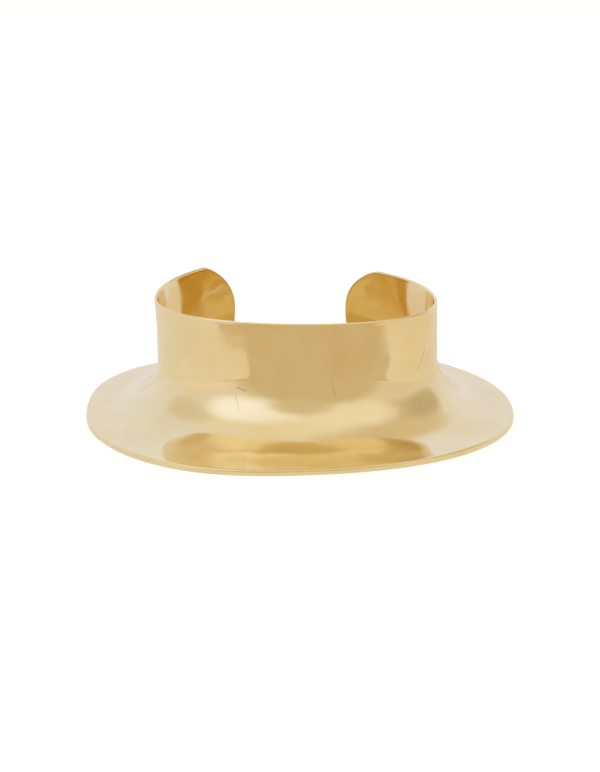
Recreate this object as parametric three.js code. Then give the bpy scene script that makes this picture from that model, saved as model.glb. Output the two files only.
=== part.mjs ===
// A cuff bracelet shaped like a brimmed hat, formed by hand from one sheet of brass.
// An oval band goes round the wrist and is open at the back. Its lower edge flares into a wide brim,
// which the bracelet stands on. The two ends are rounded and have no clasp.
// Millimetres, +Z up. The front of the band faces -Y and the wrist goes in through the gap at +Y.
// The origin lies under the middle of the outline, on the surface that the bracelet stands on.

import * as THREE from "three";

// The sheet, which is filed thinner towards its top edge
const gauge = 1.3; // at the brim's edge
const topGauge = 0.75;
const edgeEase = 0.25; // how far the sharp corners of a cut edge are taken back
const edgeSupport = 0.8; // a second line of points this far from the edge keeps the face flat up to it

// The hollow for the wrist, measured inside the band's top edge
const wristWidth = 61.8;
const wristDepth = 47;
const backFullness = 8.6; // the band reaches this much further behind its widest line than in front of it

// Heights above the surface that the bracelet stands on
const bandTop = 27;
const flareTop = 13.2; // the upright wall ends here and the flare begins

// The brim
const brimReach = 22.5; // from the wall to the brim's edge at the front
const coveSharpness = 1.45; // 2 is a quarter ellipse, and less turns out of the wall sooner
const brimFlatness = 2.9; // 2 is a quarter ellipse, and more keeps the brim flat further in from its edge
const edgeDroop = 0.34; // the brim crowns by this much, a quarter of the way in, so that its edge turns down

// The gap at the back and the rounded ends beside it
const gapWidth = 25;
const gapShift = -1.3; // from the band's middle to the gap's, positive to the right
const endRadius = 13.5; // how far an end's rounding reaches back along the band
const endTipDepth = 12; // the tip lies this far below the top edge, along the sheet

// The two ends, cut by hand. Side is -1 at the left, radius is a share of endRadius and depth one of
// endTipDepth. Top and brim say how round the end is towards each edge of the sheet: at 1 it runs into
// the edge smoothly, and below 1 it meets the edge in a soft corner.
const ends = [
  { side: -1, radius: 1, depth: 0.93, top: 0.94, brim: 0.88 },
  { side: 1, radius: 0.86, depth: 0.8, top: 0.97, brim: 0.88 },
];

// What the hammer left: the most that the brim's edge and the top edge stand above their planes, and the
// most that the foot of the wall stands in under the top edge
const brimLift = 2;
const topRise = 1.5;
const footTuck = 1.2;
const restFlat = 0.16; // the underside is rubbed flat by this much where it stands
const landWidths = [2, 0.9]; // the land is this wide where the brim is flat, and where its edge droops

// Sections round the bracelet. Angle is in degrees from the front, positive to the right, and the others
// are shares: reach of brimReach, cove of flareTop, droop of edgeDroop, lift of brimLift, rise of topRise
// and tuck of footTuck.
const sections = [
  { angle: -180, reach: 0.3, cove: 1.0, droop: 0.0, lift: 0.6, rise: 1.1, tuck: -0.8 },
  { angle: -150, reach: 0.54, cove: 0.9, droop: 0.5, lift: 0.4, rise: 1.05, tuck: -0.6 },
  { angle: -120, reach: 0.85, cove: 0.8, droop: 1.0, lift: 0.0, rise: 0.75, tuck: 0.2 },
  { angle: -90, reach: 0.665, cove: 0.8, droop: 1.0, lift: 0.0, rise: 0.1, tuck: 1.0 },
  { angle: -60, reach: 0.865, cove: 0.88, droop: 1.2, lift: 0.0, rise: 0.0, tuck: 0.4 },
  { angle: -30, reach: 1.165, cove: 0.94, droop: 0.7, lift: 0.0, rise: 0.05, tuck: 0.0 },
  { angle: 0, reach: 1.04, cove: 1.2, droop: 0.0, lift: 0.0, rise: 0.0, tuck: 0.0 },
  { angle: 30, reach: 0.955, cove: 1.02, droop: 0.1, lift: 0.0, rise: 0.0, tuck: 0.0 },
  { angle: 60, reach: 0.85, cove: 0.85, droop: 0.3, lift: 0.0, rise: 0.0, tuck: 0.0 },
  { angle: 90, reach: 0.77, cove: 1.0, droop: 0.7, lift: 0.0, rise: 0.2, tuck: -0.1 },
  { angle: 120, reach: 0.84, cove: 1.0, droop: 1.0, lift: 0.25, rise: 0.3, tuck: -0.3 },
  { angle: 150, reach: 0.6, cove: 1.0, droop: 0.5, lift: 1.0, rise: 0.2, tuck: -0.7 },
  { angle: 180, reach: 0.3, cove: 1.0, droop: 0.0, lift: 1.2, rise: 0.1, tuck: -0.8 },
];
const sectionStep = sections[1].angle - sections[0].angle;

// How finely the sheet is divided
const columns = 90; // round the band, between the lines of points beside the two ends
const wallRows = 8;
const flareRows = 13;

// The share of a section's value at a distance of x sections: the uniform cubic B-spline.
function splineWeight(x) {
  const d = Math.abs(x);
  if (d < 1) return (4 - 6 * d * d + 3 * d * d * d) / 6;
  if (d < 2) return (2 - d) ** 3 / 6;
  return 0;
}

// A column of the table at any angle, in degrees, as a smooth curve led by the sections.
function sectionValue(column, angle) {
  const place = (angle - sections[0].angle) / sectionStep;
  let value = 0;
  for (let i = Math.floor(place) - 1; i <= Math.floor(place) + 2; i++) {
    const row = sections[THREE.MathUtils.clamp(i, 0, sections.length - 1)];
    value += splineWeight(place - i) * row[column];
  }
  return value;
}

// The band's oval in plan, at the middle of the sheet.
const halfWidth = (wristWidth + topGauge) / 2;
const halfDepth = (wristDepth + topGauge) / 2;
const planPoint = (t) => [
  halfWidth * Math.sin(t),
  -halfDepth * Math.cos(t) + (backFullness / 2) * Math.cos(t) ** 2,
];
const planTangent = (t) => [
  halfWidth * Math.cos(t),
  halfDepth * Math.sin(t) - (backFullness / 2) * Math.sin(2 * t),
];
const planSpeed = (t) => Math.hypot(...planTangent(t));

// The flare's outline from the wall's foot, turn = 0, to the brim's edge, turn = 1, as shares: out runs
// from 0 to 1 of the reach, and up from 1 to 0 of the height. Crown is 0 at both and 1 at the brim's crown.
function flareShares(turn) {
  const angle = (turn * Math.PI) / 2;
  const inward = Math.max(0, Math.cos(angle)) ** (2 / brimFlatness);
  return {
    out: 1 - inward,
    up: 1 - Math.sin(angle) ** (2 / coveSharpness),
    crown: (256 / 27) * inward * (1 - inward) ** 3,
  };
}

// The turn at which the flare is a given distance from the brim's edge.
function turnBeforeEdge(distance, reach) {
  return (2 / Math.PI) * Math.acos((distance / reach) ** (brimFlatness / 2));
}

// The sheet's thickness at a level, which grows evenly from the top edge, 0, to the brim's edge, 2.
function thicknessAt(level) {
  return topGauge + ((gauge - topGauge) * level) / 2;
}

// The middle of the sheet at the angle t, in radians. level runs from 0 at the top edge to 1 at the wall's
// foot, and on to 2 at the brim's edge.
function sheetPoint(t, level) {
  const angle = THREE.MathUtils.radToDeg(t);
  const top = bandTop + topRise * sectionValue("rise", angle) - edgeEase;
  const edge = gauge / 2 + brimLift * sectionValue("lift", angle);
  const foot = flareTop * sectionValue("cove", angle) + brimLift * sectionValue("lift", angle);
  const tuck = footTuck * sectionValue("tuck", angle);
  let out;
  let z;
  if (level <= 1) {
    out = -tuck * (1 - (1 - level) ** 2);
    z = top + (foot - top) * level;
  } else {
    const flare = flareShares(level - 1);
    out = brimReach * sectionValue("reach", angle) * flare.out - tuck;
    z = edge + (foot - edge) * flare.up + edgeDroop * sectionValue("droop", angle) * flare.crown;
  }
  const [x, y] = planPoint(t);
  const [tx, ty] = planTangent(t);
  const speed = planSpeed(t);
  return new THREE.Vector3(x + (out * ty) / speed, y - (out * tx) / speed, z);
}

// The sheet's outward normal, from two short steps along it.
function sheetNormal(t, level) {
  const step = 1e-4;
  const low = THREE.MathUtils.clamp(level, step, 2 - step) - step;
  const along = sheetPoint(t + step, level).sub(sheetPoint(t - step, level));
  const down = sheetPoint(t, low + 2 * step).sub(sheetPoint(t, low));
  return down.cross(along).normalize();
}

// How far an end is set back from its tip, along the band, at a depth given as a share of the sheet's
// whole width there.
function endSetback(end, share, tipShare) {
  const away =
    share < tipShare
      ? (end.top * (tipShare - share)) / tipShare
      : (end.brim * (share - tipShare)) / (1 - tipShare);
  return endRadius * end.radius * (1 - Math.sqrt(1 - away ** 2));
}

// The sheet's width along its own surface at the angle t, down to a level.
function widthDownTo(t, level) {
  const steps = 40;
  let width = 0;
  let last = sheetPoint(t, 0);
  for (let i = 1; i <= steps; i++) {
    const next = sheetPoint(t, (level * i) / steps);
    width += next.distanceTo(last);
    last = next;
  }
  return width;
}

// The levels of the rows. Those beside the two edges keep their real distance from them.
function rowLevels(t) {
  const reach = brimReach * sectionValue("reach", THREE.MathUtils.radToDeg(t));
  const wall = bandTop - flareTop;
  const levels = [0, edgeEase / wall, edgeSupport / wall];
  for (let i = 1; i <= wallRows; i++) levels.push(i / wallRows);
  for (let i = 1; i < flareRows; i++) levels.push(1 + i / flareRows);
  for (const distance of [...landWidths, edgeEase]) levels.push(1 + turnBeforeEdge(distance, reach));
  levels.push(2);
  return levels;
}

// The angle at which one end of a row lies.
function endAngle(end, rowIndex) {
  const tipX = gapShift + (end.side * gapWidth) / 2;
  const tip = end.side * (Math.PI - Math.asin(Math.abs(tipX) / halfWidth));
  const tipShare = (endTipDepth * end.depth) / widthDownTo(tip, 2);
  const share = widthDownTo(tip, rowLevels(tip)[rowIndex]) / widthDownTo(tip, 2);
  return tip - (end.side * endSetback(end, share, tipShare)) / planSpeed(tip);
}

// The angles of a row's points, with two lines of points beside each end.
function columnAngles(rowIndex) {
  const [left, right] = ends.map((end) => endAngle(end, rowIndex));
  const ease = edgeEase / planSpeed(left);
  const support = edgeSupport / planSpeed(left);
  const angles = [left, left + ease];
  for (let i = 0; i <= columns; i++) {
    angles.push(left + support + ((right - left - 2 * support) * i) / columns);
  }
  angles.push(right - ease, right);
  return angles;
}

// One face of the sheet as a grid of points, side = 1 outside and -1 inside. The points on its border
// are drawn in by edgeEase, which eases the corners of the cut edge.
function faceGrid(side) {
  const rows = rowLevels(0).length;
  const grid = [];
  for (let i = 0; i < rows; i++) {
    const angles = columnAngles(i);
    grid.push(
      angles.map((t, j) => {
        const level = rowLevels(t)[i];
        const onBorder = i === 0 || j === 0 || i === rows - 1 || j === angles.length - 1;
        const offset = thicknessAt(level) / 2 - (onBorder ? edgeEase : 0);
        const point = sheetPoint(t, level);
        return point.addScaledVector(sheetNormal(t, level), side * offset);
      }),
    );
  }
  return grid;
}

// The indices of a grid's border, once round, from the top left corner along the top edge.
function borderOf(rows, cols) {
  const border = [];
  for (let j = 0; j < cols - 1; j++) border.push([0, j]);
  for (let i = 0; i < rows - 1; i++) border.push([i, cols - 1]);
  for (let j = cols - 1; j > 0; j--) border.push([rows - 1, j]);
  for (let i = rows - 1; i > 0; i--) border.push([i, 0]);
  return border;
}

// The closed solid between the two faces.
function sheetGeometry() {
  const outside = faceGrid(1);
  const inside = faceGrid(-1);
  const rows = outside.length;
  const cols = outside[0].length;
  const positions = [...outside.flat(), ...inside.flat()];
  const lowest = Math.min(...positions.map((p) => p.z)) + restFlat;
  for (const p of positions) p.z = Math.max(p.z, lowest);

  const indices = [];
  const outer = ([i, j]) => i * cols + j;
  const inner = ([i, j]) => (rows + i) * cols + j;
  const quad = (a, b, c, d) => indices.push(a, b, c, a, c, d);
  for (let i = 0; i < rows - 1; i++) {
    for (let j = 0; j < cols - 1; j++) {
      const cell = [[i, j], [i + 1, j], [i + 1, j + 1], [i, j + 1]];
      quad(...cell.map(outer));
      quad(...cell.map(inner).reverse());
    }
  }
  const border = borderOf(rows, cols);
  border.forEach((here, k) => {
    const next = border[(k + 1) % border.length];
    quad(outer(here), outer(next), inner(next), inner(here));
  });

  const geometry = new THREE.BufferGeometry().setFromPoints(positions);
  geometry.setIndex(indices);
  geometry.computeVertexNormals();
  return geometry;
}

// Polished yellow brass
const brass = new THREE.MeshStandardMaterial({ color: 0xf3cf86, metalness: 1, roughness: 0.12 });

function makeCuff() {
  const geometry = sheetGeometry();
  geometry.computeBoundingBox();
  const { min, max } = geometry.boundingBox;
  const cuff = new THREE.Mesh(geometry, brass);
  cuff.name = "cuff_sheet";
  cuff.position.set(-(min.x + max.x) / 2, -(min.y + max.y) / 2, -min.z);
  return cuff;
}

const bracelet = new THREE.Group();
bracelet.add(makeCuff());

export default bracelet;
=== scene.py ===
# %% [markdown]
# # A cuff bracelet with a wide brim
#
# The real bracelet is one piece of brass sheet. A goldsmith cuts a strip, bends it into an oval cuff, and
# then stretches its lower edge outwards with a hammer until it flares into a brim. After that it is polished
# until it works as a curved mirror. There is nothing to assemble here, so the lesson has two subjects: how to
# form one clean thick sheet, and how to light a mirror.

# %% Load the fixed frame
import math
from collections import namedtuple

import bpy
import numpy as np
from mathutils import Matrix, Vector


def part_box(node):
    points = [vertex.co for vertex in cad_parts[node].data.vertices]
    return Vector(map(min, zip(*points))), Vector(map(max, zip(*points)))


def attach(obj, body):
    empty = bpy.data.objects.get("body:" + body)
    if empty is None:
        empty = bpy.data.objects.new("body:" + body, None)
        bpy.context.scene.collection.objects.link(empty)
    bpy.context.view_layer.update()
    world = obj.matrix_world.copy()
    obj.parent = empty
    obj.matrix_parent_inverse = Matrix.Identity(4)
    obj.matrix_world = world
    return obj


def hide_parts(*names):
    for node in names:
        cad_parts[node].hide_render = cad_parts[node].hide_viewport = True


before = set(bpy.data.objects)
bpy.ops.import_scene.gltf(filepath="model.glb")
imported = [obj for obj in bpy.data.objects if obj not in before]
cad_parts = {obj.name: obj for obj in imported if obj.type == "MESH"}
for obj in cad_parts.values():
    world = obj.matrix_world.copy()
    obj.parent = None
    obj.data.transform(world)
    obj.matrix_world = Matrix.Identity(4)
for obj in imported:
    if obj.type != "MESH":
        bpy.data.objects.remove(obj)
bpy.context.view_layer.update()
cuff_low, cuff_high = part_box("cuff_sheet")
cuff_size = [round(1000 * length, 1) for length in cuff_high - cuff_low]
print("The frame holds", sorted(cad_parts), "and is", cuff_size, "mm")

# %% [markdown]
# ## Two helpers
#
# Node trees in Geometry Nodes and in materials are built in the same way: add a node, set its options, then
# link or fill its inputs. One function does that for every kind of node. A colour picked on a screen is sRGB,
# and Blender's sockets want linear light, so another function turns a hex value into linear numbers.

# %% One function that adds a node, and one that reads a colour
MM = 0.001


def add_node(tree, kind, settings=None, inputs=None):
    """Adds a node, sets its options, and links or fills its inputs.

    A node that is given as an input stands for its first output.
    """
    node = tree.nodes.new(kind)
    for name, value in (settings or {}).items():
        setattr(node, name, value)
    for key, value in (inputs or {}).items():
        if isinstance(value, bpy.types.Node):
            value = value.outputs[0]
        if isinstance(value, bpy.types.NodeSocket):
            tree.links.new(value, node.inputs[key])
        else:
            node.inputs[key].default_value = value
    return node


def to_linear(hex_colour):
    """An sRGB hex colour as linear red, green, blue and alpha."""
    channels = [int(hex_colour[i:i + 2], 16) / 255 for i in (1, 3, 5)]
    return [c / 12.92 if c <= 0.04045 else ((c + 0.055) / 1.055) ** 2.4 for c in channels] + [1.0]


# %% [markdown]
# ## The camera comes first
#
# The photograph looks slightly down on the bracelet from straight in front, through a long lens that keeps
# the oval from looking bulged. The camera is placed by the angle it looks down at, its distance and the point
# that it looks at, so each can be changed alone.

# %% Place the camera
LOOK_DOWN = math.radians(18)
CAMERA_DISTANCE = 700 * MM
CAMERA_ROLL = math.radians(0.61)
CAMERA_LENS = 144.9
LOOK_AT = Vector((-0.08 * MM, 3.99 * MM, 6.08 * MM))

camera_data = bpy.data.cameras.new("photo_camera")
camera_data.lens = CAMERA_LENS
camera_data.sensor_width = 36
camera = bpy.data.objects.new("photo_camera", camera_data)
bpy.context.scene.collection.objects.link(camera)
bpy.context.scene.camera = camera
towards_camera = Vector((0, -math.cos(LOOK_DOWN), math.sin(LOOK_DOWN)))
camera.location = LOOK_AT + CAMERA_DISTANCE * towards_camera
camera.rotation_mode = "QUATERNION"
camera.rotation_quaternion = (
    (-towards_camera).to_track_quat("-Z", "Y") @ Matrix.Rotation(CAMERA_ROLL, 3, "Z").to_quaternion()
)
print("The camera stands at", [round(1000 * v) for v in camera.location], "mm")

# %% [markdown]
# ## The shape of the sheet, unrolled
#
# A sheet that is bent round a wrist is easiest to think of unrolled: how far round it a point lies, how far
# it stands out from the band, and how high it is. Going down the sheet, the wall is upright and the flare
# then turns outwards along a rounded corner, a superellipse. Hand work is never even, so a short table gives
# the brim's reach, its lift off the table, the rise of the top edge and the tuck of the wall's foot in
# sections round the bracelet. A cubic B-spline blends them, because it is smooth enough for a mirror: a
# bend that changes suddenly would show as a kink in every reflection.
#
# Each number in the table is a share of the size with the same name. Cove is the height of the flare's top,
# and droop is how much the brim rounds over before its edge.

# %% Sizes
# The sheet at the brim's edge and at the top edge, and the two lines of points that keep each edge crisp
GAUGE = 1.3 * MM
TOP_GAUGE = 0.75 * MM
EDGE_EASE = 0.25 * MM
EDGE_SUPPORT = 0.8 * MM

# The band, measured inside its top edge
WRIST_WIDTH = 61.8 * MM
WRIST_DEPTH = 47 * MM
BACK_FULLNESS = 8.6 * MM
BAND_TOP = 27 * MM
TOP_RISE = 1.5 * MM
FOOT_TUCK = 1.2 * MM

# The flare and the brim
FLARE_TOP = 13.2 * MM
BRIM_REACH = 22.5 * MM
BRIM_LIFT = 2 * MM
EDGE_DROOP = 0.34 * MM
COVE_SHARPNESS = 1.45
BRIM_FLATNESS = 2.9

# The gap at the back, and the rounded ends beside it
GAP_WIDTH = 25 * MM
GAP_SHIFT = -1.3 * MM
END_RADIUS = 13.5 * MM
END_TIP_DEPTH = 12 * MM

# How much is rubbed off the underside, and how far from the brim's edge its lines of points run
REST_FLAT = 0.16 * MM
LAND_WIDTHS = (2 * MM, 0.9 * MM)
print("The cuff is", round(BAND_TOP / MM), "mm high and", round(WRIST_WIDTH / MM, 1), "mm across inside")

# %% Sections round the bracelet, and its two ends
Section = namedtuple("Section", "angle reach cove droop lift rise tuck")
SECTIONS = [
    Section(-180, 0.30, 1.00, 0.0, 0.60, 1.10, -0.8),
    Section(-150, 0.54, 0.90, 0.5, 0.40, 1.05, -0.6),
    Section(-120, 0.85, 0.80, 1.0, 0.00, 0.75, 0.2),
    Section(-90, 0.665, 0.80, 1.0, 0.00, 0.10, 1.0),
    Section(-60, 0.865, 0.88, 1.2, 0.00, 0.00, 0.4),
    Section(-30, 1.165, 0.94, 0.7, 0.00, 0.05, 0.0),
    Section(0, 1.04, 1.20, 0.0, 0.00, 0.00, 0.0),
    Section(30, 0.955, 1.02, 0.1, 0.00, 0.00, 0.0),
    Section(60, 0.85, 0.85, 0.3, 0.00, 0.00, 0.0),
    Section(90, 0.77, 1.00, 0.7, 0.00, 0.20, -0.1),
    Section(120, 0.84, 1.00, 1.0, 0.25, 0.30, -0.3),
    Section(150, 0.60, 1.00, 0.5, 1.00, 0.20, -0.7),
    Section(180, 0.30, 1.00, 0.0, 1.20, 0.10, -0.8),
]
SECTION_STEP = SECTIONS[1].angle - SECTIONS[0].angle

# Radius and depth are shares too. Top and brim say how far round the arc goes above and below an end's tip
End = namedtuple("End", "side radius depth top brim")
ENDS = [End(-1, 1.00, 0.93, 0.94, 0.88), End(1, 0.86, 0.80, 0.97, 0.88)]

# This brings the brim's crown, (1 - x) times x cubed, to 1 where it is highest
CROWN_SCALE = 256 / 27


def section_value(column, turn):
    """A column of the table at an angle in radians, along the cubic B-spline that the sections lead."""
    place = (math.degrees(turn) - SECTIONS[0].angle) / SECTION_STEP
    value = 0
    for i in range(math.floor(place) - 1, math.floor(place) + 3):
        away = abs(place - i)
        near = (4 - 6 * away ** 2 + 3 * away ** 3) / 6
        far = max(0, 2 - away) ** 3 / 6
        section = SECTIONS[min(max(i, 0), len(SECTIONS) - 1)]
        value += (near if away < 1 else far) * getattr(section, column)
    return value


def out_and_height(turn, level):
    """How far out and how high the sheet's middle lies at a level.

    Level is 0 at the top edge, 1 at the wall's foot and 2 at the brim's edge.
    """
    lift = BRIM_LIFT * section_value("lift", turn)
    top = BAND_TOP + TOP_RISE * section_value("rise", turn) - EDGE_EASE
    foot = FLARE_TOP * section_value("cove", turn) + lift
    edge = GAUGE / 2 + lift
    tuck = FOOT_TUCK * section_value("tuck", turn)
    if level <= 1:
        return -tuck * (1 - (1 - level) ** 2), top + (foot - top) * level
    corner = (level - 1) * math.pi / 2
    outwards = 1 - max(0, math.cos(corner)) ** (2 / BRIM_FLATNESS)
    upwards = 1 - math.sin(corner) ** (2 / COVE_SHARPNESS)
    crown = CROWN_SCALE * (1 - outwards) * outwards ** 3
    height = edge + (foot - edge) * upwards + EDGE_DROOP * section_value("droop", turn) * crown
    return BRIM_REACH * section_value("reach", turn) * outwards - tuck, height


print("The table has", len(SECTIONS), "sections,", SECTION_STEP, "degrees apart")

# %% [markdown]
# ## The blank
#
# The blank is a grid of points over the unrolled sheet. Rows beside the edges keep their real distance from
# them, and so do the columns beside the two ends, because those lines of points decide how crisp the edge is
# once the mesh is smoothed. The ends are rounded by letting each row stop at its own angle. Each point also
# carries how far down the sheet it lies, because the sheet is filed thinner towards its top edge.

# %% Draw the blank as a flat grid
COLUMNS = 94
WALL_ROWS = 8
FLARE_ROWS = 13
WIDTH_STEPS = 40
HALF_WIDTH = (WRIST_WIDTH + TOP_GAUGE) / 2
HALF_DEPTH = (WRIST_DEPTH + TOP_GAUGE) / 2


def band_speed(turn):
    """Metres along the band for each radian of turn."""
    across = HALF_WIDTH * math.cos(turn)
    along = HALF_DEPTH * math.sin(turn) - BACK_FULLNESS / 2 * math.sin(2 * turn)
    return math.hypot(across, along)


def level_before_edge(distance, turn):
    """The level that lies a distance before the brim's edge."""
    share = distance / (BRIM_REACH * section_value("reach", turn))
    return 1 + 2 / math.pi * math.acos(share ** (BRIM_FLATNESS / 2))


def row_levels(turn):
    """The level of each row of points, from the top edge to the brim's edge."""
    wall = BAND_TOP - FLARE_TOP
    levels = [0, EDGE_EASE / wall, EDGE_SUPPORT / wall]
    levels += [i / WALL_ROWS for i in range(1, WALL_ROWS + 1)]
    levels += [1 + i / FLARE_ROWS for i in range(1, FLARE_ROWS)]
    levels += [level_before_edge(distance, turn) for distance in (*LAND_WIDTHS, EDGE_EASE)]
    return levels + [2]


def width_down_to(turn, level):
    """The sheet's width along its own surface, from the top edge down to a level."""
    points = [out_and_height(turn, level * i / WIDTH_STEPS) for i in range(WIDTH_STEPS + 1)]
    return sum(math.dist(a, b) for a, b in zip(points, points[1:]))


def end_turn(end, row):
    """The angle at which a row stops at one of the two rounded ends."""
    tip_x = GAP_SHIFT + end.side * GAP_WIDTH / 2
    tip = end.side * (math.pi - math.asin(abs(tip_x) / HALF_WIDTH))
    whole = width_down_to(tip, 2)
    tip_share = END_TIP_DEPTH * end.depth / whole
    share = width_down_to(tip, row_levels(tip)[row]) / whole
    if share < tip_share:
        away = end.top * (tip_share - share) / tip_share
    else:
        away = end.brim * (share - tip_share) / (1 - tip_share)
    setback = END_RADIUS * end.radius * (1 - math.sqrt(1 - away ** 2))
    return tip - end.side * setback / band_speed(tip)


def row_turns(row):
    """The angles of a row's points, with two lines of points beside each end."""
    left, right = (end_turn(end, row) for end in ENDS)
    ease, support = (distance / band_speed(left) for distance in (EDGE_EASE, EDGE_SUPPORT))
    inner = np.linspace(left + support, right - support, COLUMNS + 1)
    return [left, left + ease, *inner, right - ease, right]


def make_blank():
    """The grid with x as the angle, y as the distance out and z as the height, its UV map and its levels."""
    rows = len(row_levels(0))
    columns = len(row_turns(0))
    points, surface, shares = [], [], []
    for row in range(rows):
        for turn in row_turns(row):
            level = row_levels(turn)[row]
            points.append((turn, *out_and_height(turn, level)))
            surface.append((turn * HALF_WIDTH, -width_down_to(turn, level)))
            shares.append(level / 2)
    faces = [
        (i * columns + j, (i + 1) * columns + j, (i + 1) * columns + j + 1, i * columns + j + 1)
        for i in range(rows - 1)
        for j in range(columns - 1)
    ]
    mesh = bpy.data.meshes.new("cuff_blank")
    mesh.from_pydata(points, [], faces)
    uv = mesh.uv_layers.new(name="along_the_sheet")
    for loop in mesh.loops:
        uv.data[loop.index].uv = surface[loop.vertex_index]
    mesh.attributes.new("share_down", "FLOAT", "POINT").data.foreach_set("value", shares)
    return mesh


blank = bpy.data.objects.new("cuff", make_blank())
bpy.context.scene.collection.objects.link(blank)
print("The blank has", len(blank.data.polygons), "faces")

# %% [markdown]
# ## Forming the sheet with Geometry Nodes
#
# The tree does what the workshop does. It bends the blank round an oval, gives it the sheet's thickness by
# setting one copy out and one copy in and closing the rim between them, smooths it, adds the low waves that a
# hammer and a polishing wheel leave, and rubs the underside flat where it stands. The waves are real shape
# and not a bump, because a mirror shows each of them and the outline has them too.


# %% Build the tree
def new_tree(name, sizes):
    """A Geometry Nodes tree with a named input for each size."""
    tree = bpy.data.node_groups.new(name, "GeometryNodeTree")
    tree.interface.new_socket("Geometry", in_out="INPUT", socket_type="NodeSocketGeometry")
    for label, (kind, value) in sizes.items():
        socket = tree.interface.new_socket(label, in_out="INPUT", socket_type=kind)
        if value is not None:
            socket.default_value = value
    tree.interface.new_socket("Geometry", in_out="OUTPUT", socket_type="NodeSocketGeometry")
    return tree


FLOAT = "NodeSocketFloat"
form = new_tree("form_the_cuff", {
    "Half Width": (FLOAT, HALF_WIDTH),
    "Half Depth": (FLOAT, HALF_DEPTH),
    "Back Fullness": (FLOAT, BACK_FULLNESS),
    "Top Gauge": (FLOAT, TOP_GAUGE),
    "Brim Gauge": (FLOAT, GAUGE),
    "Edge Ease": (FLOAT, EDGE_EASE),
    "Hammer Height": (FLOAT, 0.07 * MM),
    "Hammer Length": (FLOAT, 14 * MM),
    "Wheel Height": (FLOAT, 0.022 * MM),
    "Wheel Length": (FLOAT, 6 * MM),
    "Rest Flat": (FLOAT, REST_FLAT),
    "Smoothing": ("NodeSocketInt", 2),
    "Metal": ("NodeSocketMaterial", None),
})
given = add_node(form, "NodeGroupInput").outputs
TIMES = {"operation": "MULTIPLY"}
LESS = {"operation": "SUBTRACT"}
PLUS = {"operation": "ADD"}
SCALED = {"operation": "SCALE"}
MERGE_DISTANCE = 0.002 * MM

# %% Bend the blank round the oval
place = add_node(form, "GeometryNodeInputPosition")
unrolled = add_node(form, "ShaderNodeSeparateXYZ", None, {0: place}).outputs
sine = add_node(form, "ShaderNodeMath", {"operation": "SINE"}, {0: unrolled["X"]})
cosine = add_node(form, "ShaderNodeMath", {"operation": "COSINE"}, {0: unrolled["X"]})
fullness = add_node(form, "ShaderNodeMath", TIMES, {0: given["Back Fullness"], 1: cosine})
half_fullness = add_node(form, "ShaderNodeMath", TIMES, {0: fullness, 1: 0.5})
oval_x = add_node(form, "ShaderNodeMath", TIMES, {0: given["Half Width"], 1: sine})
depth_there = add_node(form, "ShaderNodeMath", LESS, {0: half_fullness, 1: given["Half Depth"]})
oval_y = add_node(form, "ShaderNodeMath", TIMES, {0: depth_there, 1: cosine})
on_oval = add_node(form, "ShaderNodeCombineXYZ", None, {"X": oval_x, "Y": oval_y, "Z": unrolled["Z"]})

# The way out of the band is square to the oval's slope
slope_x = add_node(form, "ShaderNodeMath", TIMES, {0: given["Half Width"], 1: cosine})
slope_there = add_node(form, "ShaderNodeMath", LESS, {0: given["Half Depth"], 1: fullness})
slope_y = add_node(form, "ShaderNodeMath", TIMES, {0: slope_there, 1: sine})
minus_slope_x = add_node(form, "ShaderNodeMath", TIMES, {0: slope_x, 1: -1.0})
square_to_it = add_node(form, "ShaderNodeCombineXYZ", None, {"X": slope_y, "Y": minus_slope_x})
outward = add_node(form, "ShaderNodeVectorMath", {"operation": "NORMALIZE"}, {0: square_to_it})
reach = add_node(form, "ShaderNodeVectorMath", SCALED, {0: outward, "Scale": unrolled["Y"]})
bent_place = add_node(form, "ShaderNodeVectorMath", PLUS, {0: on_oval, 1: reach})
bent = add_node(form, "GeometryNodeSetPosition", None, {
    "Geometry": given["Geometry"],
    "Position": bent_place,
})

# %% Give the sheet its thickness
# Each point remembers which way the sheet faces there, and how far each face stands from its middle
neighbours = add_node(form, "GeometryNodeInputMeshVertexNeighbors").outputs["Vertex Count"]
on_border = add_node(form, "FunctionNodeCompare", {"data_type": "INT", "operation": "LESS_THAN"}, {
    "A": neighbours,
    "B": 4,
})
ease_there = add_node(form, "ShaderNodeMath", TIMES, {0: given["Edge Ease"], 1: on_border})
share_down = add_node(form, "GeometryNodeInputNamedAttribute", {"data_type": "FLOAT"}, {"Name": "share_down"})
thickness = add_node(form, "ShaderNodeMapRange", None, {
    "Value": share_down,
    "To Min": given["Top Gauge"],
    "To Max": given["Brim Gauge"],
})
half_thickness = add_node(form, "ShaderNodeMath", TIMES, {0: thickness, 1: 0.5})
stand_off = add_node(form, "ShaderNodeMath", LESS, {0: half_thickness, 1: ease_there})
faced = add_node(form, "GeometryNodeStoreNamedAttribute", {"data_type": "FLOAT_VECTOR", "domain": "POINT"}, {
    "Geometry": bent,
    "Name": "facing",
    "Value": add_node(form, "GeometryNodeInputNormal"),
})
marked = add_node(form, "GeometryNodeStoreNamedAttribute", {"data_type": "FLOAT", "domain": "POINT"}, {
    "Geometry": faced,
    "Name": "stand_off",
    "Value": stand_off,
})
facing = add_node(form, "GeometryNodeInputNamedAttribute", {"data_type": "FLOAT_VECTOR"}, {"Name": "facing"})
distance = add_node(form, "GeometryNodeInputNamedAttribute", {"data_type": "FLOAT"}, {"Name": "stand_off"})
to_outside = add_node(form, "ShaderNodeVectorMath", SCALED, {0: facing, "Scale": distance})
to_inside = add_node(form, "ShaderNodeVectorMath", SCALED, {0: to_outside, "Scale": -1.0})

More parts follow.
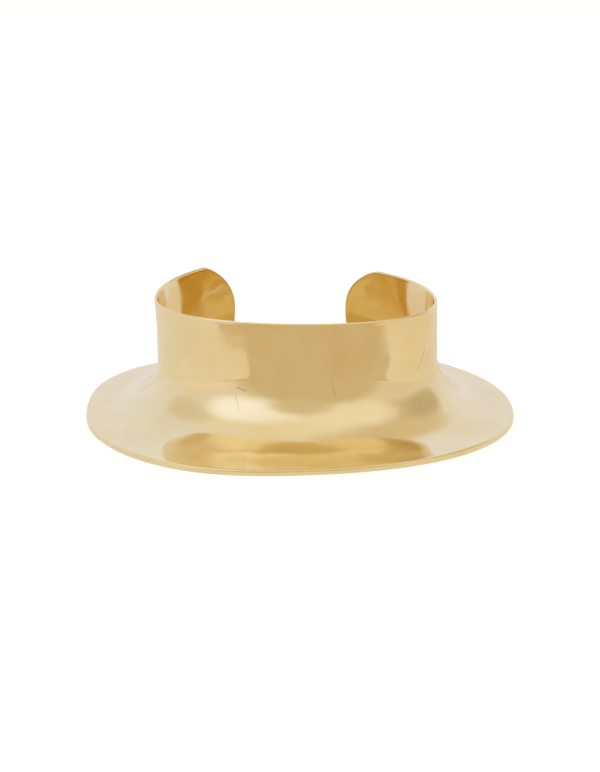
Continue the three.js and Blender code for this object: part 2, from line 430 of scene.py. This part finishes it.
# The raised copy brings the rim with it, and the flipped copy closes the inside
raised = add_node(form, "GeometryNodeExtrudeMesh", {"mode": "FACES"}, {
    "Mesh": marked,
    "Offset Scale": 0.0,
    "Individual": False,
}).outputs
outside = add_node(form, "GeometryNodeSetPosition", None, {
    "Geometry": raised["Mesh"],
    "Selection": raised["Top"],
    "Offset": to_outside,
})
not_top = add_node(form, "FunctionNodeBooleanMath", {"operation": "NOT"}, {0: raised["Top"]})
rim = add_node(form, "GeometryNodeSetPosition", None, {
    "Geometry": outside,
    "Selection": not_top,
    "Offset": to_inside,
})
flipped = add_node(form, "GeometryNodeFlipFaces", None, {"Mesh": marked})
inside = add_node(form, "GeometryNodeSetPosition", None, {"Geometry": flipped, "Offset": to_inside})
both = add_node(form, "GeometryNodeJoinGeometry", None, {0: inside})
form.links.new(rim.outputs[0], both.inputs[0])
closed = add_node(form, "GeometryNodeMergeByDistance", None, {"Geometry": both, "Distance": MERGE_DISTANCE})
smooth = add_node(form, "GeometryNodeSubdivisionSurface", None, {"Mesh": closed, "Level": given["Smoothing"]})

# %% Leave the marks of hammer and wheel
# Two slow noises move both faces of the sheet together, a broad one and a finer one. A noise mostly stays
# within a quarter of its middle, so it is stretched four times to reach the full height
NOISE_STRETCH = 4.0

shape = smooth
for tool in ("Hammer", "Wheel"):
    how_often = add_node(form, "ShaderNodeMath", {"operation": "DIVIDE"}, {
        0: 1.0,
        1: given[tool + " Length"],
    })
    noise = add_node(form, "ShaderNodeTexNoise", {"noise_dimensions": "3D"}, {
        "Vector": place,
        "Scale": how_often,
        "Detail": 1.0,
        "Roughness": 0.35,
    })
    either_way = add_node(form, "ShaderNodeMath", LESS, {0: noise, 1: 0.5})
    stretched = add_node(form, "ShaderNodeMath", TIMES, {0: given[tool + " Height"], 1: NOISE_STRETCH})
    wave_height = add_node(form, "ShaderNodeMath", TIMES, {0: either_way, 1: stretched})
    wave = add_node(form, "ShaderNodeVectorMath", SCALED, {0: facing, "Scale": wave_height})
    shape = add_node(form, "GeometryNodeSetPosition", None, {"Geometry": shape, "Offset": wave})

# %% Rub the underside flat where it stands, and finish the tree
there = add_node(form, "ShaderNodeSeparateXYZ", None, {0: place}).outputs
lowest = add_node(form, "GeometryNodeAttributeStatistic", {"data_type": "FLOAT", "domain": "POINT"}, {
    "Geometry": shape,
    "Attribute": there["Z"],
}).outputs["Min"]
rubbed_at = add_node(form, "ShaderNodeMath", PLUS, {0: lowest, 1: given["Rest Flat"]})
not_lower = add_node(form, "ShaderNodeMath", {"operation": "MAXIMUM"}, {0: there["Z"], 1: rubbed_at})
rubbed_place = add_node(form, "ShaderNodeCombineXYZ", None, {
    "X": there["X"],
    "Y": there["Y"],
    "Z": not_lower,
})
rubbed = add_node(form, "GeometryNodeSetPosition", None, {"Geometry": shape, "Position": rubbed_place})
shaded = add_node(form, "GeometryNodeSetShadeSmooth", None, {"Geometry": rubbed})
realized = add_node(form, "GeometryNodeRealizeInstances", None, {"Geometry": shaded})
finished = add_node(form, "GeometryNodeSetMaterial", None, {"Geometry": realized, "Material": given["Metal"]})
add_node(form, "NodeGroupOutput", None, {0: finished})
print("The tree has", len(form.nodes), "nodes")

# %% [markdown]
# ## Polished brass
#
# Yellow brass polished on a wheel is a mirror with a warm tint: all of its colour is in what it reflects, so
# the base colour is the tint and the metal is fully metallic. The tint drifts a little between paler and
# deeper yellow where a thin film of tarnish has started. The wheel leaves very fine lines that run along the
# sheet, and handling leaves soft smudges that blur the reflection a little. A few deeper marks, left by the
# tools before the last polish, are drawn one by one, each as the distance to a short line across the front.


# %% Draw the deeper marks
Mark = namedtuple("Mark", "name start_x start_z end_x end_z width")
MARKS = [
    Mark("chisel_nick", -13.8, 11.8, -11.9, 11.3, 0.28),
    Mark("left_scratch", -14.2, 10.4, -13.4, 7.8, 0.12),
    Mark("right_scratch", 27.4, 18.2, 26.6, 15.6, 0.12),
    Mark("right_scratch_end", 26.6, 15.6, 25.2, 13.4, 0.10),
    Mark("middle_scratch", 6.6, 13.6, 7.7, 10.9, 0.10),
]


def draw_marks(tree, here):
    """How deep the marks are at each point, from 0 to 1. They lie only on the front half."""
    flat = add_node(tree, "ShaderNodeVectorMath", TIMES, {0: here, 1: (1.0, 0.0, 1.0)})
    deepest = None
    for mark in MARKS:
        start = Vector((mark.start_x, 0.0, mark.start_z)) * MM
        along = Vector((mark.end_x, 0.0, mark.end_z)) * MM - start
        away = add_node(tree, "ShaderNodeVectorMath", LESS, {0: flat, 1: start})
        reached = add_node(tree, "ShaderNodeVectorMath", {"operation": "DOT_PRODUCT"}, {0: away, 1: along})
        share = add_node(tree, "ShaderNodeMapRange", {"label": mark.name}, {
            "Value": reached.outputs["Value"],
            "From Max": along.length_squared,
        })
        nearest = add_node(tree, "ShaderNodeVectorMath", SCALED, {0: tuple(along), "Scale": share})
        distance = add_node(tree, "ShaderNodeVectorMath", {"operation": "DISTANCE"}, {0: away, 1: nearest})
        depth = add_node(tree, "ShaderNodeMapRange", {"interpolation_type": "SMOOTHSTEP"}, {
            "Value": distance.outputs["Value"],
            "From Max": mark.width * MM,
            "To Min": 1.0,
            "To Max": 0.0,
        })
        deepest = depth if deepest is None else add_node(
            tree, "ShaderNodeMath", {"operation": "MAXIMUM"}, {0: deepest, 1: depth}
        )
    way_back = add_node(tree, "ShaderNodeSeparateXYZ", None, {0: here}).outputs["Y"]
    on_front = add_node(tree, "ShaderNodeMath", {"operation": "LESS_THAN"}, {0: way_back, 1: 0.0})
    return add_node(tree, "ShaderNodeMath", TIMES, {0: deepest, 1: on_front})


print("There are", len(MARKS), "marks to draw")

# %% Make the metal
PALE_BRASS = "#F5E5B8"
DEEP_BRASS = "#EFDBA8"
MARKED_BRASS = "#8C7440"
MARK_STRENGTH = 0.45
MARK_DEPTH = 0.01 * MM
FILM_SIZE = 11 * MM
SMUDGE_SIZE = 6 * MM
WHEEL_LINE_LENGTH = 9 * MM
WHEEL_LINE_WIDTH = 0.35 * MM
WHEEL_LINE_DEPTH = 0.004 * MM


def make_polished_brass():
    """Yellow brass off a polishing wheel: a tinted mirror with a thin film, smudges, fine lines and marks."""
    material = bpy.data.materials.new("polished_brass")
    material.use_nodes = True
    tree = material.node_tree
    tree.nodes.clear()
    here = add_node(tree, "ShaderNodeTexCoord").outputs["Object"]
    along = add_node(tree, "ShaderNodeUVMap", {"uv_map": "along_the_sheet"}).outputs["UV"]

    film = add_node(tree, "ShaderNodeTexNoise", None, {
        "Vector": here,
        "Scale": 1 / FILM_SIZE,
        "Detail": 3.0,
        "Roughness": 0.55,
    })
    tint = add_node(tree, "ShaderNodeValToRGB", None, {"Fac": film.outputs["Fac"]})
    tint.color_ramp.elements[0].position = 0.3
    tint.color_ramp.elements[0].color = to_linear(DEEP_BRASS)
    tint.color_ramp.elements[1].position = 0.7
    tint.color_ramp.elements[1].color = to_linear(PALE_BRASS)

    smudge = add_node(tree, "ShaderNodeTexNoise", None, {
        "Vector": here,
        "Scale": 1 / SMUDGE_SIZE,
        "Detail": 4.0,
        "Roughness": 0.6,
    })
    blur = add_node(tree, "ShaderNodeMapRange", None, {
        "Value": smudge.outputs["Fac"],
        "From Min": 0.35,
        "From Max": 0.75,
        "To Min": 0.07,
        "To Max": 0.15,
    })

    marks = draw_marks(tree, here)
    darkened = add_node(tree, "ShaderNodeMapRange", None, {
        "Value": marks,
        "To Min": 0.0,
        "To Max": MARK_STRENGTH,
    })
    # A mix of colours has its share at place 0, its two inputs at 6 and 7, and its result at 2
    worn_tint = add_node(tree, "ShaderNodeMix", {"data_type": "RGBA"}, {
        0: darkened,
        6: tint.outputs["Color"],
        7: to_linear(MARKED_BRASS),
    }).outputs[2]

    lines_place = add_node(tree, "ShaderNodeMapping", None, {
        "Vector": along,
        "Scale": (1 / WHEEL_LINE_LENGTH, 1 / WHEEL_LINE_WIDTH, 1.0),
    })
    lines = add_node(tree, "ShaderNodeTexNoise", None, {
        "Vector": lines_place.outputs[0],
        "Scale": 1.0,
        "Detail": 2.0,
        "Roughness": 0.6,
    })
    wheel = add_node(tree, "ShaderNodeBump", None, {
        "Height": lines.outputs["Fac"],
        "Strength": 0.25,
        "Distance": WHEEL_LINE_DEPTH,
    })
    cut = add_node(tree, "ShaderNodeBump", {"invert": True}, {
        "Height": marks,
        "Strength": 0.6,
        "Distance": MARK_DEPTH,
        "Normal": wheel.outputs["Normal"],
    })
    metal = add_node(tree, "ShaderNodeBsdfPrincipled", None, {
        "Base Color": worn_tint,
        "Metallic": 1.0,
        "Roughness": blur.outputs["Result"],
        "Normal": cut.outputs["Normal"],
    })
    add_node(tree, "ShaderNodeOutputMaterial", None, {"Surface": metal.outputs[0]})
    return material


polished_brass = make_polished_brass()
print("Made the material", polished_brass.name)

# %% Form the cuff and put it in its place
formed = blank.modifiers.new("form", "NODES")
formed.node_group = form
for item in form.interface.items_tree:
    if item.name == "Metal":
        formed[item.identifier] = polished_brass
depsgraph = bpy.context.evaluated_depsgraph_get()
solid = bpy.data.meshes.new_from_object(blank.evaluated_get(depsgraph))
cuff = blank
cuff.modifiers.remove(formed)
cuff.data = solid
solid.name = "cuff"

corners = np.empty(len(solid.vertices) * 3)
solid.vertices.foreach_get("co", corners)
corners = corners.reshape(-1, 3)
middle = (corners.min(axis=0) + corners.max(axis=0)) / 2
cad_middle = (cuff_low + cuff_high) / 2
solid.transform(Matrix.Translation((
    cad_middle.x - middle[0],
    cad_middle.y - middle[1],
    cuff_low.z - corners[:, 2].min(),
)))
print("The cuff has", sum(len(p.vertices) - 2 for p in solid.polygons), "triangles")
print("and measures", (1000 * (corners.max(axis=0) - corners.min(axis=0))).round(2), "mm")

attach(cuff, "root")
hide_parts("cuff_sheet")

# %% [markdown]
# ## The floor, and the floor that the metal sees
#
# A mirror has no look of its own, so most of the work on polished metal is choosing what it reflects. The
# The floor is a plain white table top. A mirror over a pure white table looks cold and empty, so the metal is
# given glowing cards laid over the table to see instead. They are painted reflections of the table that the
# camera does not see, so the floor stays plain white. They lie under the bracelet too, and they glow by
# themselves though they are no lamps, because their colour should not depend on the shade that the bracelet
# throws.
#
# The band reflects the tan card in front of it, painted shade of the table there, with the cream card's edge
# on both sides. The sand card lies behind, for the inside of the two sides. Inside the hollow, light bounces
# from wall to wall and takes the brass tint each time. The amber and honey sheets there paint that bounced
# light: deep amber, with a lighter painted pool of light in its middle.


# %% Make the table top and the cards' material
# A card may turn from one colour near the front right to another far at the back left
BACK_LEFT = (-0.5, 1.0, 0.0)
NEAR_END = -50 * MM
FAR_END = 60 * MM


def lay_sheet(name, outline, height, material):
    """A flat sheet of the stage, inside an outline of x and y in millimetres."""
    mesh = bpy.data.meshes.new(name)
    mesh.from_pydata([(x * MM, y * MM, height) for x, y in outline], [], [range(len(outline))])
    mesh.materials.append(material)
    sheet = bpy.data.objects.new(name, mesh)
    bpy.context.scene.collection.objects.link(sheet)
    return sheet


def make_white_table_top():
    """White laminate, matt enough to show no reflection of the bracelet."""
    material = bpy.data.materials.new("white_table_top")
    material.use_nodes = True
    shader = material.node_tree.nodes["Principled BSDF"]
    shader.inputs["Base Color"].default_value = to_linear("#F4F4F3")
    shader.inputs["Roughness"].default_value = 0.9
    shader.inputs["Specular IOR Level"].default_value = 0.1
    return material


def make_glowing_card(name, near, far):
    """Coloured card that glows by itself, from its near colour to its far colour: a painted reflection that
    only the metal sees.
    """
    material = bpy.data.materials.new(name)
    material.use_nodes = True
    tree = material.node_tree
    tree.nodes.clear()
    here = add_node(tree, "ShaderNodeTexCoord").outputs["Object"]
    way_back = add_node(tree, "ShaderNodeVectorMath", {"operation": "DOT_PRODUCT"}, {0: here, 1: BACK_LEFT})
    share = add_node(tree, "ShaderNodeMapRange", None, {
        "Value": way_back.outputs["Value"],
        "From Min": NEAR_END,
        "From Max": FAR_END,
    })
    colour = add_node(tree, "ShaderNodeValToRGB", None, {"Fac": share})
    colour.color_ramp.elements[0].color = to_linear(near)
    colour.color_ramp.elements[1].color = to_linear(far)
    glow = add_node(tree, "ShaderNodeEmission", None, {"Color": colour})
    add_node(tree, "ShaderNodeOutputMaterial", None, {"Surface": glow})
    return material


white_table_top = make_white_table_top()
print("Made the material", white_table_top.name)

# %% Lay the floor and the cards
# The outlines are in millimetres, and each card lies a hair above the one before it
FAR = 3000
WHOLE_FLOOR = [(-FAR, -FAR), (FAR, -FAR), (FAR, FAR), (-FAR, FAR)]
CREAM_OUTLINE = [
    (-FAR, FAR), (-FAR, -FAR), (-0.6 * FAR, -FAR), (-66, -112), (-88, -84), (-72, -80), (-52, -79),
    (-46, -83), (-39, -81), (-34, -71), (-28, -61), (0, -58), (34, -54), (50, -42), (66, -46), (77, -56),
    (80, -66), (72, -80), (FAR, -0.9 * FAR), (FAR, FAR),
]
BACK_OUTLINE = [(-42, 36), (40, 36), (66, 55), (62, 80), (-40, 80)]
HOLLOW_OUTLINE = [
    (-18, -33), (18, -33), (38, -16), (41, 0), (41, 14), (34, 38), (-36, 38), (-41, 14), (-41, 0),
    (-38, -16),
]
HONEY_OUTLINE = [
    (-34, -10), (34, -10), (34, 10), (38, 22), (28, 16), (27, -2), (-26, -2), (-27, 16), (-29, 32), (-33, 22),
    (-34, 14),
]
Card = namedtuple("Card", "name outline near far")
# Each card is painted light that only the metal sees: the tan one paints the table's shade in front of the
# band, and the amber and honey ones paint the light bounced round the hollow
CARDS = [
    Card("painted_front_shade", WHOLE_FLOOR, "#D6C3A5", "#D6C3A5"),
    Card("cream_card", CREAM_OUTLINE, "#EDE1CE", "#EAE6E6"),
    Card("sand_card", BACK_OUTLINE, "#E8DACA", "#E8DACA"),
    Card("painted_bounce_amber", HOLLOW_OUTLINE, "#CEA860", "#CEA860"),
    Card("painted_bounce_pool", HONEY_OUTLINE, "#DEC285", "#DEC285"),
]
CARD_STEP = 0.01 * MM

floor = lay_sheet("floor", WHOLE_FLOOR, 0.0, white_table_top)
floor.visible_glossy = False
for layer, card in enumerate(CARDS, start=1):
    glow = make_glowing_card(card.name, card.near, card.far)
    laid = lay_sheet(card.name, card.outline, layer * CARD_STEP, glow)
    laid.visible_camera = False
    laid.visible_shadow = False
    laid.visible_diffuse = False
print("Laid the floor and", len(CARDS), "cards")

# %% [markdown]
# ## The light
#
# One large soft light from above washes the table white. What the metal sees above the table is a painted
# room: a wall that goes from warm in front to cool behind, with soft round patches on it. Each patch is
# one thing that a studio has: a softbox, a paler reflector, a dark corner. A patch is given by its
# direction, as an azimuth from the front and an elevation, and by the two angles between which it fades. A
# later patch covers an earlier one.

# %% Hang the light over the table
WASH_SIZE = 1000 * MM
WASH_HEIGHT = 1400 * MM
WASH_POWER = 10.5

wash_data = bpy.data.lights.new("floor_wash", "AREA")
wash_data.shape = "RECTANGLE"
wash_data.size = WASH_SIZE
wash_data.size_y = WASH_SIZE
wash_data.energy = WASH_POWER
floor_wash = bpy.data.objects.new("floor_wash", wash_data)
floor_wash.location = (0.0, 0.0, WASH_HEIGHT)
floor_wash.visible_camera = False
floor_wash.visible_glossy = False
bpy.context.scene.collection.objects.link(floor_wash)
print("Hung the light", round(WASH_HEIGHT / MM), "mm over the table")

# %% Paint the room
Patch = namedtuple("Patch", "name azimuth elevation inner outer strength colour")
PATCHES = [
    Patch("ceiling", 0, 90, 12, 38, 1.0, "#F1EADD"),
    Patch("left_wall", -58, 8, 12, 34, 1.0, "#F1E7DA"),
    Patch("front", 8, 15, 30, 43, 1.0, "#D7C5A8"),
    Patch("left_shade", -100, 49, 4, 22, 1.0, "#E1D9D1"),
    Patch("right_shade", 95, 50, 12, 28, 1.0, "#D8CAB0"),
    Patch("back_corner", 136, 56, 8, 26, 1.0, "#DECFB4"),
    Patch("dark_corner", 106, 33, 5, 24, 1.0, "#CABAA2"),
    Patch("reflector", 56, 59, 4, 25, 1.0, "#F8F0E8"),
    Patch("softbox", -43, 61, 7, 26, 1.25, "#EBEDFF"),
    Patch("high_front", 5, 55, 4, 17, 1.0, "#DDCEB4"),
]
WARM_WALL = "#E6D9C5"
COOL_WALL = "#EDEEFD"
TO_THE_COOL_SIDE = (-0.3, 0.85, 0.3)
WARM_UNTIL = -0.6
COOL_FROM = 0.9

world = bpy.data.worlds.new("studio")
bpy.context.scene.world = world
world.use_nodes = True
room = world.node_tree
towards = add_node(room, "ShaderNodeTexCoord").outputs["Generated"]
way_back = add_node(room, "ShaderNodeVectorMath", {"operation": "DOT_PRODUCT"}, {
    0: towards,
    1: TO_THE_COOL_SIDE,
})
share = add_node(room, "ShaderNodeMapRange", None, {
    "Value": way_back.outputs["Value"],
    "From Min": WARM_UNTIL,
    "From Max": COOL_FROM,
})
wall = add_node(room, "ShaderNodeValToRGB", None, {"Fac": share})
wall.color_ramp.elements[0].color = to_linear(WARM_WALL)
wall.color_ramp.elements[1].color = to_linear(COOL_WALL)

seen = wall.outputs["Color"]
for patch in PATCHES:
    azimuth, elevation = math.radians(patch.azimuth), math.radians(patch.elevation)
    centre = (
        math.sin(azimuth) * math.cos(elevation),
        -math.cos(azimuth) * math.cos(elevation),
        math.sin(elevation),
    )
    nearness = add_node(room, "ShaderNodeVectorMath", {"operation": "DOT_PRODUCT"}, {0: towards, 1: centre})
    fade = {"interpolation_type": "SMOOTHSTEP", "label": patch.name}
    share = add_node(room, "ShaderNodeMapRange", fade, {
        "Value": nearness.outputs["Value"],
        "From Min": math.cos(math.radians(patch.outer)),
        "From Max": math.cos(math.radians(patch.inner)),
    })
    paint = [patch.strength * channel for channel in to_linear(patch.colour)[:3]] + [1.0]
    seen = add_node(room, "ShaderNodeMix", {"data_type": "RGBA"}, {0: share, 6: seen, 7: paint}).outputs[2]
room.links.new(seen, room.nodes["Background"].inputs["Color"])
bpy.context.scene.view_settings.view_transform = "Standard"
print("Painted", len(PATCHES), "patches on the wall")
